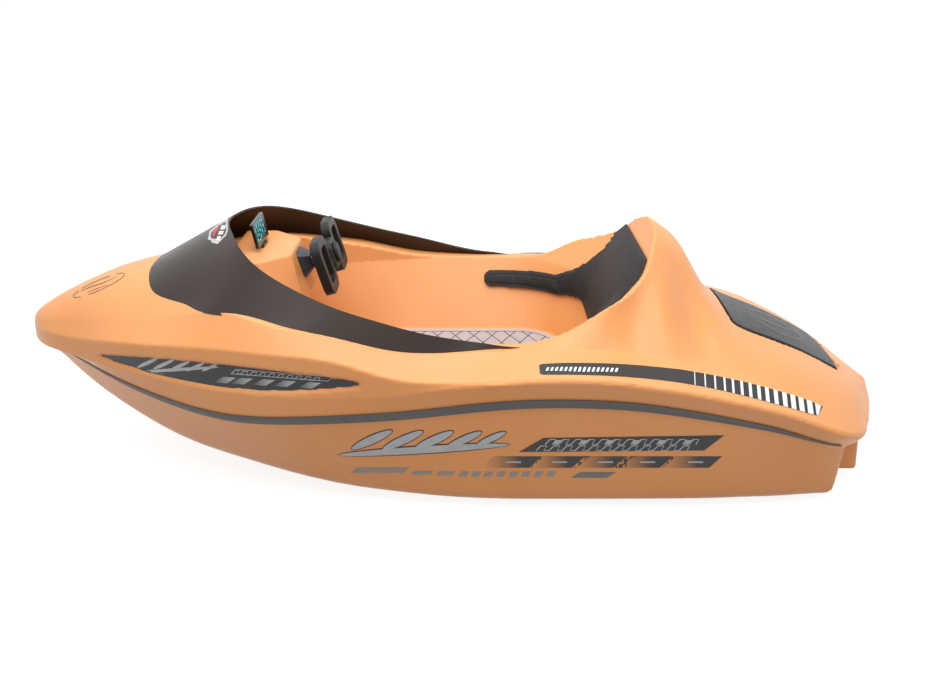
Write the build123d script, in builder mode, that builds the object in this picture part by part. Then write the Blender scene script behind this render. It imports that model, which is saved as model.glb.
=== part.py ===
from build123d import *
import math
import os

# Kart boat: one-seat jet boat with a planing hull, an open cockpit under a wrap-round
# screen, a head fairing, a hatched rear deck and a steered jet nozzle at the stern.
# Axes: X runs to the bow, Y to port, Z up. The keel pad stands on Z = 0.

# Driving sizes, in millimetres and degrees
length = 2500
beam = 1092
height = 700
half_length = length / 2
half_beam = beam / 2
overrun = 60
seat_gap = 0.3

# Body
chine_round = 30
strip_half_height = 13
strip_proud = 4
strip_tip = 2
strip_front_x_share = 0.448
strip_front_x = length * strip_front_x_share
strip_aft_x_share = -0.416
strip_aft_x = length * strip_aft_x_share
transom_x_share = -0.4184
transom_x = length * transom_x_share
transom_round = 55

# Cockpit
floor_z_share = 0.3686
floor_z = height * floor_z_share
floor_half_width_share = 0.2289
floor_half_width = beam * floor_half_width_share
floor_round = 150
floor_aft_x_share = -0.138
floor_aft_x = length * floor_aft_x_share
elbow_z_share = 0.6571
elbow_z = height * elbow_z_share
elbow_half_width_share = 0.3526
elbow_half_width = beam * elbow_half_width_share
elbow_round = 300
elbow_aft_x_share = -0.172
elbow_aft_x = length * elbow_aft_x_share
mouth_z_share = 1.1429
mouth_z = height * mouth_z_share
mouth_half_width_share = 0.4121
mouth_half_width = beam * mouth_half_width_share
mouth_round = 100
mouth_aft_x_share = -0.252
mouth_aft_x = length * mouth_aft_x_share
cockpit_front_x_share = 0.24
cockpit_front_x = length * cockpit_front_x_share
cockpit_nose_half_width_share = 0.261
cockpit_nose_half_width = beam * cockpit_nose_half_width_share
cockpit_taper_x_share = 0.032
cockpit_taper_x = length * cockpit_taper_x_share
nose_round = 70
footwell_front_x_share = 0.304
footwell_front_x = length * footwell_front_x_share
footwell_half_width_share = 0.1969
footwell_half_width = beam * footwell_half_width_share
footwell_top_z_share = 0.6857
footwell_top_z = height * footwell_top_z_share
footwell_round = 60

# Side scoops
scoop_front_x_share = 0.408
scoop_front_x = length * scoop_front_x_share
scoop_rear_x_share = 0.0928
scoop_rear_x = length * scoop_rear_x_share
scoop_depth = 14
scoop_mid_x_share = 0.248
scoop_mid_x = length * scoop_mid_x_share
scoop_tip_z_share = 0.5286
scoop_tip_z = height * scoop_tip_z_share
scoop_top_z_share = 0.6086
scoop_top_z = height * scoop_top_z_share
scoop_low_z_share = 0.5043
scoop_low_z = height * scoop_low_z_share
scoop_rear_top_z_share = 0.5871
scoop_rear_top_z = height * scoop_rear_top_z_share
scoop_rear_low_z_share = 0.5629
scoop_rear_low_z = height * scoop_rear_low_z_share
inlay_thick = 4
inlay_margin = 1

# Screen
screen_thick = 5
screen_sunk = 16

# Console and display
console_top_z_share = 0.8814
console_top_z = height * console_top_z_share
console_base_z_share = 0.6886
console_base_z = height * console_base_z_share
console_aft_x_share = 0.184
console_aft_x = length * console_aft_x_share
console_front_x_share = 0.256
console_front_x = length * console_front_x_share
console_lean = 39.7
console_top_half_width_share = 0.0806
console_top_half_width = beam * console_top_half_width_share
console_base_half_width_share = 0.1264
console_base_half_width = beam * console_base_half_width_share
console_flare = 77
console_flare_length = 80
console_round = 12
display_width = 150
display_height = 72
display_thick = 9
display_lean = 12
display_x_share = 0.224
display_x = length * display_x_share
foot_width = 60
foot_length = 26
foot_thick = 8

# Steering
column_z_share = 0.8086
column_z = height * column_z_share
boot_half = 42
boot_tip_half = 22
boot_length = 34
shaft_radius = 9
shaft_play = 1
hub_stand = 64
hub_thick = 40
hub_across = 96
hub_tall = 84
hub_chamfer = 16
cover_radius = 30
cover_thick = 10
yoke_half_width_share = 0.1575
yoke_half_width = beam * yoke_half_width_share
yoke_half_height = 78
yoke_grip = 26
yoke_thick = 26
yoke_round = 34

# Footwell fittings
mat_thick = 7
mat_margin = 14
mat_front_x_share = 0.188
mat_front_x = length * mat_front_x_share
plate_length = 120
plate_width = 90
plate_thick = 8
pedal_length = 110
pedal_width = 70
pedal_thick = 10
pedal_rake = 50
pedal_x_share = 0.256
pedal_x = length * pedal_x_share
pedal_y_share = -0.087
pedal_y = beam * pedal_y_share
rest_x_share = 0.26
rest_x = length * rest_x_share
rest_y_share = 0.087
rest_y = beam * rest_y_share
rest_length = 90
rest_height = 60

# Backrest pad
pad_thick = 16
pad_rim_drop = 22
pad_tip_x_share = -0.048
pad_tip_x = length * pad_tip_x_share
pad_arm_low_z_share = 0.5443
pad_arm_low_z = height * pad_arm_low_z_share
pad_arm_high_z_share = 0.61
pad_arm_high_z = height * pad_arm_high_z_share
pad_top_z_share = 0.9029
pad_top_z = height * pad_top_z_share
pad_low_z_share = 0.5886
pad_low_z = height * pad_low_z_share
pad_rise_x_share = -0.128
pad_rise_x = length * pad_rise_x_share
pad_rise = 5
pad_round = 28
pad_top_x_share = -0.208
pad_top_x = length * pad_top_x_share
pad_shoulder_x_share = -0.1776
pad_shoulder_x = length * pad_shoulder_x_share
pad_shoulder_z_share = 0.7443
pad_shoulder_z = height * pad_shoulder_z_share

# Hatch
hatch_front_x_share = -0.316
hatch_front_x = length * hatch_front_x_share
hatch_aft_x_share = -0.4424
hatch_aft_x = length * hatch_aft_x_share
hatch_front_half_width_share = 0.1429
hatch_front_half_width = beam * hatch_front_half_width_share
hatch_aft_half_width_share = 0.1337
hatch_aft_half_width = beam * hatch_aft_half_width_share
hatch_front_bulge = 6
hatch_aft_bulge = 9
hatch_round = 16
bay_front_x_share = -0.3248
bay_front_x = length * bay_front_x_share
bay_aft_x_share = -0.416
bay_aft_x = length * bay_aft_x_share
bay_half_width_share = 0.1081
bay_half_width = beam * bay_half_width_share
hatch_gap = 5
hatch_proud = 3
hatch_thick = 14
ledge = 16
seal_thick = 4
bay_floor_z_share = 0.26
bay_floor_z = height * bay_floor_z_share
bay_round = 25
drive_length = 150
drive_width = 150
drive_height = 120
hinge_radius = 5
hinge_length = 50
hinge_spread = 80
hinge_gap = 3
hinge_z_share = 0.4
hinge_z = height * hinge_z_share
hinge_drop = 40

# Stern housing
housing_half_width_share = 0.261
housing_half_width = beam * housing_half_width_share
housing_aft_x_share = -0.46
housing_aft_x = length * housing_aft_x_share
housing_taper = 12
housing_draft = 3
housing_base_z_share = 0.0486
housing_base_z = height * housing_base_z_share
housing_tunnel_half_share = 0.1236
housing_tunnel_half = beam * housing_tunnel_half_share
housing_tunnel_z_share = 0.2514
housing_tunnel_z = height * housing_tunnel_z_share

# Jet
jet_z_share = 0.1357
jet_z = height * jet_z_share
duct_radius = 68
duct_bore = 60
duct_front_x_share = -0.344
duct_front_x = length * duct_front_x_share
duct_aft_x_share = -0.4312
duct_aft_x = length * duct_aft_x_share
intake_front_x_share = -0.256
intake_front_x = length * intake_front_x_share
intake_aft_x_share = -0.3472
intake_aft_x = length * intake_aft_x_share
intake_half_width_share = 0.0476
intake_half_width = beam * intake_half_width_share
grate_bar = 6
grate_bars = 5
grate_height = 12
impeller_radius = 54
impeller_hub = 18
impeller_x_share = -0.386
impeller_x = length * impeller_x_share
impeller_width = 36
impeller_blades = 4
blade_thick = 4
blade_pitch = 35
drive_shaft_radius = 10
shaft_front_x_share = -0.308
shaft_front_x = length * shaft_front_x_share
nozzle_pivot_x_share = -0.44
nozzle_pivot_x = length * nozzle_pivot_x_share
nozzle_front_x_share = -0.4368
nozzle_front_x = length * nozzle_front_x_share
nozzle_aft_x_share = -0.4712
nozzle_aft_x = length * nozzle_aft_x_share
nozzle_radius = 52
nozzle_tip_radius = 42
nozzle_wall = 6
ear_thick = 8
ear_gap = 4
ear_lap = 16
ear_width = 30
pin_radius = 5
ride_plate_half_width_share = 0.1007
ride_plate_half_width = beam * ride_plate_half_width_share
ride_plate_thick = 8
ride_plate_aft_x_share = -0.452
ride_plate_aft_x = length * ride_plate_aft_x_share
ride_plate_front_x_share = -0.384
ride_plate_front_x = length * ride_plate_front_x_share
strake_y_share = 0.2381
strake_y = beam * strake_y_share
strake_width = 22
strake_height = 12
strake_lift = 1
strake_front_x_share = 0.128
strake_front_x = length * strake_front_x_share
strake_aft_x_share = -0.36
strake_aft_x = length * strake_aft_x_share
plug_radius = 14
plug_flange = 20
plug_length = 12
plug_y_share = 0.3022
plug_y = beam * plug_y_share
plug_z_share = 0.0857
plug_z = height * plug_z_share


# Half sections from bow to stern, in shares of half length, half beam and height. Columns:
# x, crown z, shoulder y z, foot y z, upper knuckle y z, lower knuckle y z,
# seam y z, chine y z, keel z, keel pad y
STATION_SHARES = (
    (1.0000, .574, .015, .571, .020, .567, .026, .560, .029, .503, .022, .489, .016, .483, .480, .009),
    (.9888, .601, .044, .593, .070, .576, .088, .554, .092, .500, .062, .477, .037, .470, .466, .015),
    (.9696, .627, .079, .614, .125, .591, .156, .560, .158, .499, .099, .469, .048, .457, .449, .018),
    (.8920, .703, .156, .676, .247, .627, .310, .573, .311, .503, .238, .479, .139, .366, .331, .037),
    (.7712, .789, .249, .750, .399, .677, .498, .606, .480, .501, .423, .434, .269, .246, .183, .073),
    (.6144, .846, .366, .794, .549, .724, .685, .646, .670, .503, .612, .387, .423, .144, .071, .128),
    (.4800, .869, .458, .829, .681, .777, .806, .669, .797, .500, .751, .374, .549, .109, .033, .202),
    (.3472, .800, .549, .779, .800, .749, .894, .671, .886, .503, .846, .397, .645, .074, .006, .256),
    (.2400, .753, .604, .739, .821, .719, .932, .659, .923, .516, .896, .423, .703, .051, -.004, .275),
    (.1248, .700, .604, .689, .828, .673, .967, .607, .960, .537, .921, .444, .751, .039, -.004, .275),
    (.0000, .683, .604, .671, .811, .659, .976, .596, .989, .577, .941, .477, .786, .030, -.004, .275),
    (-.2400, .790, .700, .684, .769, .656, .985, .619, 1.000, .601, .949, .506, .800, .026, -.004, .275),
    (-.3040, .960, .670, .720, .758, .648, .985, .613, .999, .597, .946, .501, .800, .026, -.004, .275),
    (-.3440, 1.030, .588, .772, .746, .640, .984, .606, .998, .590, .943, .495, .800, .026, -.004, .275),
    (-.3840, 1.070, .486, .841, .728, .629, .982, .592, .996, .577, .940, .487, .799, .026, -.004, .275),
    (-.4560, .988, .270, .915, .751, .607, .978, .571, .991, .557, .935, .467, .797, .026, -.004, .275),
    (-.5120, .910, .250, .825, .751, .583, .973, .549, .985, .534, .927, .449, .795, .026, -.004, .275),
    (-.5768, .731, .330, .683, .733, .558, .963, .520, .976, .506, .916, .421, .787, .025, -.004, .275),
    (-.6320, .637, .430, .598, .733, .533, .951, .491, .963, .477, .901, .396, .775, .024, -.004, .275),
    (-.7064, .572, .480, .544, .733, .493, .925, .446, .940, .431, .879, .356, .762, .023, -.004, .275),
    (-.8000, .500, .460, .477, .696, .427, .881, .372, .896, .355, .828, .280, .733, .021, -.004, .275),
    (-.8640, .440, .400, .423, .623, .374, .780, .323, .797, .306, .733, .254, .681, .021, -.004, .275),
    (-.9040, .399, .320, .386, .513, .344, .632, .298, .647, .281, .590, .243, .531, .057, .029, .220),
    (-.9520, .339, .187, .332, .304, .307, .379, .284, .390, .268, .348, .236, .293, .143, .114, .128),
    (-.9856, .299, .073, .296, .121, .286, .150, .274, .158, .262, .139, .234, .110, .214, .200, .046),
    (-1.0000, .285, .018, .283, .029, .278, .037, .270, .040, .259, .033, .234, .026, .226, .222, .009),
)

# Seam between hull and deck, side view: shares of half length and height, bow to stern
SEAM_SHARES = (
    (1.03, .492), (.892, .479), (.771, .434), (.64, .392), (.50, .374), (.36, .394), (.233, .423),
    (.108, .448), (-.014, .480), (-.134, .503), (-.255, .505), (-.378, .489), (-.502, .451),
    (-.586, .417), (-.674, .373), (-.767, .314), (-.820, .283), (-.88, .252), (-.94, .236),
    (-1.03, .234),
)

# Screen, port half from its tip round to the middle of the front:
# rim x y z, base x y z, in shares of half length, half beam and height
SCREEN_SHARES = (
    (-.1544, .736, .659, -.1544, .739, .650),
    (-.0800, .764, .677, -.0800, .775, .656),
    (.0000, .773, .701, .0160, .811, .659),
    (.0800, .786, .734, .1120, .828, .669),
    (.1600, .769, .771, .2080, .824, .703),
    (.2400, .742, .811, .3120, .794, .745),
    (.3200, .683, .860, .4000, .735, .773),
    (.4000, .582, .917, .4960, .656, .781),
    (.4480, .458, .957, .5740, .524, .768),
    (.4700, .365, .976, .6200, .438, .768),
    (.4880, .256, .990, .6560, .345, .784),
    (.5060, .130, .996, .6880, .150, .815),
    (.5144, .000, .9985, .6948, .000, .8200),
)


def place(x_share, y_share, z_share):
    """Point of the boat from shares of half length, half beam and height."""
    return Vector(x_share * half_length, y_share * half_beam, z_share * height)


def towards(start, end, distance):
    """Point on the way from start to end, at the given distance or at most halfway."""
    span = end - start
    return start + span * (min(distance, span.length / 2) / span.length)


def body_section(row):
    """Closed cross-section of the whole body at one station."""
    x_share, crown, sy, sz, fy, fz, uy, uz, ly, lz, my, mz, cy, cz, keel, pad = row
    with BuildSketch(Plane.YZ.offset(x_share * half_length)) as section:
        with BuildLine():
            shoulder = Vector(sy * half_beam, sz * height)
            foot = Vector(fy * half_beam, fz * height)
            upper = Vector(uy * half_beam, uz * height)
            lower = Vector(ly * half_beam, lz * height)
            seam = Vector(my * half_beam, mz * height)
            chine = Vector(cy * half_beam, cz * height)
            pad_edge = Vector(pad * half_beam, keel * height)
            crown_arc = ThreePointArc((-shoulder.X, shoulder.Y), (0, crown * height), shoulder)
            flank = TangentArc(shoulder, foot, tangent=crown_arc % 1)
            Line(foot, upper)
            Line(upper, lower)
            Line(lower, seam)
            reach = min(chine_round, (seam - chine).length / 2, (pad_edge - chine).length / 2)
            round_top = towards(chine, seam, reach)
            round_base = towards(chine, pad_edge, reach)
            Line(seam, round_top)
            TangentArc(round_top, round_base, tangent=chine - round_top)
            Line(round_base, pad_edge)
            mirror(about=Plane.YZ)
            Line(pad_edge, (-pad_edge.X, pad_edge.Y))
        make_face()
    return section.sketch


# Whole body, before it is split at the seam
with BuildPart() as body:
    for row in STATION_SHARES:
        add(body_section(row))
    loft()


# Cutters in side view: an outline on the X-Z plane is extruded across the boat
def side_block(points_xz, y_from, y_to):
    """Block across the boat from a closed straight-sided outline in side view."""
    with BuildPart() as block:
        with BuildSketch(Plane.XZ.offset(-y_to)):
            with BuildLine():
                Polyline(*points_xz, close=True)
            make_face()
        extrude(amount=y_to - y_from)
    return block.part


def seam_points():
    """Seam in side view."""
    return [(x * half_length, z * height) for x, z in SEAM_SHARES]


def strip_points(side):
    """Upper or lower edge of the rub strip in side view, tapered to its ends."""
    rows = [(x * half_length, z * height) for x, z in SEAM_SHARES]
    rows = [row for row in rows if strip_aft_x < row[0] < strip_front_x]
    middle = (strip_front_x + strip_aft_x) / 2
    reach = (strip_front_x - strip_aft_x) / 2
    return [
        (x, z + side * max(strip_tip, strip_half_height * (1 - ((x - middle) / reach) ** 4)))
        for x, z in rows
    ]


# Everything below the seam, with the transom and its rounded heel
with BuildPart() as hull_region:
    with BuildSketch(Plane.XZ.offset(-(half_beam + overrun))):
        with BuildLine():
            wave = Spline(*seam_points())
            Line(wave @ 1, (-half_length - overrun, -overrun))
            Line((-half_length - overrun, -overrun), (half_length + overrun, -overrun))
            Line((half_length + overrun, -overrun), wave @ 0)
        make_face()
    extrude(amount=2 * (half_beam + overrun))

with BuildPart() as transom_region:
    with BuildSketch(Plane.XZ.offset(-(half_beam + overrun))):
        with BuildLine():
            heel = (transom_x + transom_round, 0)
            Line((transom_x, height), (transom_x, transom_round))
            RadiusArc((transom_x, transom_round), heel, -transom_round)
            Line(heel, (half_length + overrun, 0))
            Line((half_length + overrun, 0), (half_length + overrun, height))
            Line((half_length + overrun, height), (transom_x, height))
        make_face()
    extrude(amount=2 * (half_beam + overrun))


def cockpit_space(inset):
    """Cockpit space above the floor, with its walls moved inwards by inset."""
    levels = (
        # level z, half width, aft x, corner radius
        (floor_z, floor_half_width, floor_aft_x, floor_round),
        (elbow_z, elbow_half_width, elbow_aft_x, elbow_round),
        (mouth_z, mouth_half_width, mouth_aft_x, mouth_round),
    )
    with BuildPart() as space:
        for low, high in zip(levels, levels[1:]):
            for level, side, aft, corner in (low, high):
                side = side - inset
                aft = aft + inset
                corner = corner - inset
                front = cockpit_front_x - inset
                nose = min(side, cockpit_nose_half_width - inset)
                nose_corner = nose_round - inset / 2
                with BuildSketch(Plane.XY.offset(level)):
                    with BuildLine():
                        Polyline(
                            (aft, 0),
                            (aft, side),
                            (cockpit_taper_x, side + seat_gap),
                            (front, nose),
                            (front, 0),
                        )
                        mirror(about=Plane.XZ)
                    make_face()
                    rear = vertices().group_by(Axis.X)[0]
                    fillet([v for v in rear if abs(v.Y) > seat_gap], corner)
                    fore = vertices().group_by(Axis.X)[-1]
                    fillet([v for v in fore if abs(v.Y) > seat_gap], nose_corner)
            loft(ruled=True)
    return space.part


cockpit = cockpit_space(0)

with BuildPart() as footwell:
    with BuildSketch(Plane.XY.offset(floor_z)):
        with Locations(((cockpit_front_x - nose_round + footwell_front_x) / 2, 0)):
            Rectangle(footwell_front_x - cockpit_front_x + nose_round, 2 * footwell_half_width)
    extrude(amount=footwell_top_z - floor_z)
    fillet(footwell.edges().filter_by(Axis.X).group_by(Axis.Z)[-1], footwell_round)
    fillet(footwell.edges().filter_by(Axis.Z).group_by(Axis.X)[-1], footwell_round / 2)

# Hatch: its outline in plan, then everything that follows from the deck's surface
def hatch_prism(margin):
    """Upright prism over the hatch outline, grown by margin."""
    front = hatch_front_x + margin
    aft = hatch_aft_x - margin
    wide = hatch_front_half_width + margin
    narrow = hatch_aft_half_width + margin
    with BuildPart() as prism:
        with BuildSketch(Plane.XY.offset(bay_floor_z)):
            with BuildLine():
                Line((front, wide), (aft, narrow))
                ThreePointArc((aft, narrow), (aft - hatch_aft_bulge, 0), (aft, -narrow))
                Line((aft, -narrow), (front, -wide))
                ThreePointArc((front, -wide), (front + hatch_front_bulge, 0), (front, wide))
            make_face()
            fillet(vertices().group_by(Axis.X)[-1], hatch_round + margin)
        extrude(amount=height)
    return prism.part


lowered = Location((0, 0, hatch_proud - hatch_thick))
raised = Location((0, 0, hatch_proud))

with BuildPart() as lid_recess:
    add(hatch_prism(hatch_gap))
    add(body.part.moved(Location((0, 0, hatch_proud - hatch_thick - seal_thick))), mode=Mode.SUBTRACT)

with BuildPart() as bay:
    with BuildSketch(Plane.XY.offset(bay_floor_z)):
        with Locations(((bay_front_x + bay_aft_x) / 2, 0)):
            RectangleRounded(bay_front_x - bay_aft_x, 2 * bay_half_width, bay_round)
    extrude(amount=height)

# Water passage: pump tunnel through the transom and the sloping intake below
with BuildPart() as passage:
    with BuildSketch(Plane.YZ.offset(duct_front_x)):
        with Locations((0, jet_z)):
            Circle(duct_radius)
    extrude(amount=transom_x - overrun - duct_front_x)
    add(
        side_block(
            [
                (intake_front_x, -overrun),
                (duct_front_x, jet_z + duct_bore),
                (duct_front_x - overrun, jet_z + duct_bore),
                (intake_aft_x, -overrun),
            ],
            -intake_half_width,
            intake_half_width,
        )
    )

with BuildPart() as shaft_bore:
    with BuildSketch(Plane.YZ.offset(shaft_front_x + seat_gap)):
        with Locations((0, jet_z)):
            Circle(drive_shaft_radius + seat_gap)
    extrude(amount=-(shaft_front_x - duct_front_x))

with BuildPart() as plug_bore:
    with BuildSketch(Plane.YZ.offset(transom_x)):
        with Locations((plug_y, plug_z)):
            Circle(plug_radius)
    extrude(amount=plug_length)

with BuildPart() as ride_plate:
    with BuildSketch():
        with Locations(((ride_plate_front_x + ride_plate_aft_x) / 2, 0)):
            Rectangle(ride_plate_front_x - ride_plate_aft_x, 2 * ride_plate_half_width)
        fillet(vertices(), 2 * ride_plate_thick)
    extrude(amount=ride_plate_thick)

# Lower hull: everything below the seam and before the transom
with BuildPart() as hull:
    add(body.part)
    add(hull_region.part, mode=Mode.INTERSECT)
    add(transom_region.part, mode=Mode.INTERSECT)
    add(cockpit, mode=Mode.SUBTRACT)
    add(footwell.part, mode=Mode.SUBTRACT)
    add(bay.part, mode=Mode.SUBTRACT)
    add(passage.part, mode=Mode.SUBTRACT)
    add(shaft_bore.part, mode=Mode.SUBTRACT)
    add(plug_bore.part, mode=Mode.SUBTRACT)
    add(ride_plate.part, mode=Mode.SUBTRACT)


def scoop_prism(margin, y_from, y_to):
    """Lens-shaped prism across one side scoop, its outline drawn in by margin."""
    tip = (scoop_front_x - margin, scoop_tip_z)
    rear_top = (scoop_rear_x + margin, scoop_rear_top_z - margin)
    rear_low = (scoop_rear_x + margin, scoop_rear_low_z + margin)
    with BuildPart() as prism:
        with BuildSketch(Plane.XZ.offset(-y_to)):
            with BuildLine():
                ThreePointArc(tip, (scoop_mid_x, scoop_top_z - margin), rear_top)
                Line(rear_top, rear_low)
                ThreePointArc(rear_low, (scoop_mid_x, scoop_low_z + margin), tip)
            make_face()
        extrude(amount=y_to - y_from)
    return prism.part


def shift_y(part, distance):
    """Copy of a part moved along Y."""
    return part.moved(Location((0, distance, 0)))


with BuildPart() as scoops:
    for side in (1, -1):
        inner, outer = sorted((0, side * (half_beam + overrun)))
        with BuildPart(mode=Mode.PRIVATE) as one_side:
            add(scoop_prism(0, inner, outer))
            add(shift_y(body.part, -side * scoop_depth), mode=Mode.SUBTRACT)
        add(one_side.part)

with BuildPart() as inlays:
    for side in (1, -1):
        inner, outer = sorted((0, side * (half_beam + overrun)))
        with BuildPart(mode=Mode.PRIVATE) as one_side:
            add(scoop_prism(inlay_margin, inner, outer))
            add(shift_y(body.part, -side * (scoop_depth - inlay_thick)), mode=Mode.INTERSECT)
            add(shift_y(body.part, -side * scoop_depth), mode=Mode.SUBTRACT)
        add(one_side.part)

# Deck moulding: everything above the seam, with the cockpit, hatch and scoops cut out
with BuildPart() as deck:
    add(body.part)
    add(hull_region.part, mode=Mode.SUBTRACT)
    add(cockpit, mode=Mode.SUBTRACT)
    add(footwell.part, mode=Mode.SUBTRACT)
    add(bay.part, mode=Mode.SUBTRACT)
    add(lid_recess.part, mode=Mode.SUBTRACT)
    add(scoops.part, mode=Mode.SUBTRACT)

# Rub strips: a thin skin over the seam on both sides
with BuildPart() as strip_band:
    with BuildSketch(Plane.XZ.offset(-(half_beam + overrun))):
        with BuildLine():
            upper_edge = Spline(*strip_points(1))
            lower_edge = Spline(*strip_points(-1))
            Line(upper_edge @ 0, lower_edge @ 0)
            Line(upper_edge @ 1, lower_edge @ 1)
        make_face()
    extrude(amount=2 * (half_beam + overrun))

with BuildPart() as strips:
    for side in (1, -1):
        with BuildPart(mode=Mode.PRIVATE) as one_side:
            add(shift_y(body.part, side * strip_proud))
            add(strip_band.part, mode=Mode.INTERSECT)
            add(body.part, mode=Mode.SUBTRACT)
        add(one_side.part)


# Hatch lid and its seal
with BuildPart() as lid:
    add(hatch_prism(0))
    add(body.part.moved(raised), mode=Mode.INTERSECT)
    add(body.part.moved(lowered), mode=Mode.SUBTRACT)

with BuildPart() as seal:
    with BuildSketch(Plane.XY.offset(bay_floor_z)):
        with Locations(((bay_front_x + bay_aft_x) / 2, 0)):
            RectangleRounded(
                bay_front_x - bay_aft_x + 2 * ledge, 2 * (bay_half_width + ledge), bay_round + ledge
            )
            RectangleRounded(bay_front_x - bay_aft_x, 2 * bay_half_width, bay_round, mode=Mode.SUBTRACT)
    extrude(amount=height)
    add(body.part.moved(Location((0, 0, hatch_proud - hatch_thick - seat_gap))), mode=Mode.INTERSECT)
    add(body.part.moved(Location((0, 0, hatch_proud - hatch_thick - seal_thick))), mode=Mode.SUBTRACT)

# Hatch hinges: two barrels behind the lid, each with its leaf on the deck
hinge_x = hatch_aft_x - hatch_aft_bulge - hinge_gap - hinge_radius
with BuildPart() as hinges:
    for side in (1, -1):
        with BuildSketch(Plane.XZ.offset(side * hinge_spread - hinge_length / 2)):
            with Locations((hinge_x, hinge_z)):
                Circle(hinge_radius)
        extrude(amount=hinge_length)
        with BuildSketch(Plane.XZ.offset(side * hinge_spread - hinge_length / 2)):
            with BuildLine():
                Polyline(
                    (hinge_x, hinge_z),
                    (hinge_x - hinge_radius, hinge_z),
                    (hinge_x - hinge_radius, hinge_z - hinge_drop),
                    (hinge_x, hinge_z - hinge_drop),
                    close=True,
                )
            make_face()
        extrude(amount=hinge_length)
    add(body.part, mode=Mode.SUBTRACT)

# Motor and battery, one block on the floor of the rear bay
drive_x = (bay_front_x + bay_aft_x) / 2
with BuildPart() as drive_block:
    with BuildSketch(Plane.XY.offset(bay_floor_z)):
        with Locations((drive_x, 0)):
            Rectangle(drive_length, drive_width)
    extrude(amount=drive_height)
    fillet(drive_block.edges().filter_by(Axis.Z), bay_round / 2)


def screen_frames():
    """Screen stations from the port tip round the front to the starboard tip."""
    port = [(place(*row[:3]), place(*row[3:])) for row in SCREEN_SHARES]
    flip = [(Vector(rim.X, -rim.Y, rim.Z), Vector(base.X, -base.Y, base.Z)) for rim, base in port]
    return port + flip[-2::-1]


# Screen: a thin shell lofted round through one slim section per station
with BuildPart() as screen:
    frames = screen_frames()
    for index, (rim, base) in enumerate(frames):
        before = frames[max(index - 1, 0)]
        after = frames[min(index + 1, len(frames) - 1)]
        along = (after[0] + after[1] - before[0] - before[1]).normalized()
        down = (base - rim).normalized()
        outward = along.cross(down).normalized()
        depth = (base - rim).length + screen_sunk
        with BuildSketch(Plane(origin=rim, x_dir=outward, z_dir=outward.cross(down))):
            with BuildLine():
                Polyline((0, 0), (-screen_thick, 0), (-screen_thick, depth), (0, depth), close=True)
            make_face()
    loft()
    add(body.part, mode=Mode.SUBTRACT)

# Console: a chamfered pod standing out of the front of the cockpit
with BuildPart() as console:
    levels = (
        # level z, aft x, half width at the aft edge
        (console_base_z, console_aft_x - console_lean, console_base_half_width),
        (console_top_z, console_aft_x, console_top_half_width),
    )
    for level, aft, side in levels:
        with BuildSketch(Plane.XY.offset(level)):
            with BuildLine():
                Polyline(
                    (aft, 0),
                    (aft, side),
                    (aft + console_flare_length, side + console_flare),
                    (console_front_x, side + console_flare),
                    (console_front_x, 0),
                )
                mirror(about=Plane.XZ)
            make_face()
    loft(ruled=True)
    fillet(console.faces().sort_by(Axis.Z)[-1].edges(), console_round)
    add(deck.part, mode=Mode.SUBTRACT)

# Display: a thin screen leaning on the console's top, on a small foot
with BuildPart() as display_foot:
    with BuildSketch(Plane.XY.offset(console_top_z)):
        with Locations((display_x, 0)):
            Rectangle(foot_length, foot_width)
        fillet(vertices(), foot_thick / 2)
    extrude(amount=foot_thick)

display_plane = Plane(
    origin=(display_x, 0, console_top_z + foot_thick),
    x_dir=(0, 1, 0),
    z_dir=(-math.cos(math.radians(display_lean)), 0, math.sin(math.radians(display_lean))),
)
with BuildPart() as display:
    with BuildSketch(display_plane):
        with Locations((0, -display_height / 2)):
            Rectangle(display_width, display_height)
        fillet(vertices(), foot_thick / 2)
    extrude(amount=display_thick)

# Steering column: everything on it is placed from the console's aft face
column_rake = math.degrees(math.atan(console_lean / (console_top_z - console_base_z)))
column_foot_x = console_aft_x - console_lean * (console_top_z - column_z) / (
    console_top_z - console_base_z
)
column = Plane(
    origin=(column_foot_x, 0, column_z),
    x_dir=(0, 1, 0),
    z_dir=(-math.cos(math.radians(column_rake)), 0, math.sin(math.radians(column_rake))),
)

with BuildPart() as boot:
    with BuildSketch(column):
        Rectangle(2 * boot_half, 2 * boot_half)
        chamfer(vertices(), boot_half / 3)
    with BuildSketch(column.offset(boot_length)):
        Rectangle(2 * boot_tip_half, 2 * boot_tip_half)
        chamfer(vertices(), boot_tip_half / 3)
    loft(ruled=True)
    with BuildSketch(column):
        Circle(shaft_radius + shaft_play)
    extrude(amount=boot_length, mode=Mode.SUBTRACT)

with BuildPart() as shaft:
    with BuildSketch(column.offset(seat_gap)):
        Circle(shaft_radius)
    extrude(amount=hub_stand - seat_gap)

with BuildPart() as hub:
    with BuildSketch(column.offset(hub_stand)):
        Rectangle(hub_across, hub_tall)
        chamfer(vertices(), hub_chamfer)
    extrude(amount=hub_thick)
    chamfer(hub.faces().sort_by(Axis.X)[0].edges(), hub_chamfer / 3)

with BuildPart() as cover:
    with BuildSketch(column.offset(hub_stand + hub_thick)):
        Circle(cover_radius)
    extrude(amount=cover_thick)
    chamfer(cover.faces().sort_by(Axis.X)[0].edges(), cover_thick / 4)

# Yoke: one closed loop on each side of the hub
with BuildPart() as yoke:
    loop_width = yoke_half_width - hub_across / 2
    with BuildSketch(column.offset(hub_stand + (hub_thick - yoke_thick) / 2)):
        with Locations(*[(side * (hub_across + loop_width) / 2, 0) for side in (1, -1)]):
            RectangleRounded(loop_width, 2 * yoke_half_height, yoke_round)
            RectangleRounded(
                loop_width - 2 * yoke_grip,
                2 * (yoke_half_height - yoke_grip),
                yoke_round / 2,
                mode=Mode.SUBTRACT,
            )
    extrude(amount=yoke_thick)

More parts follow.
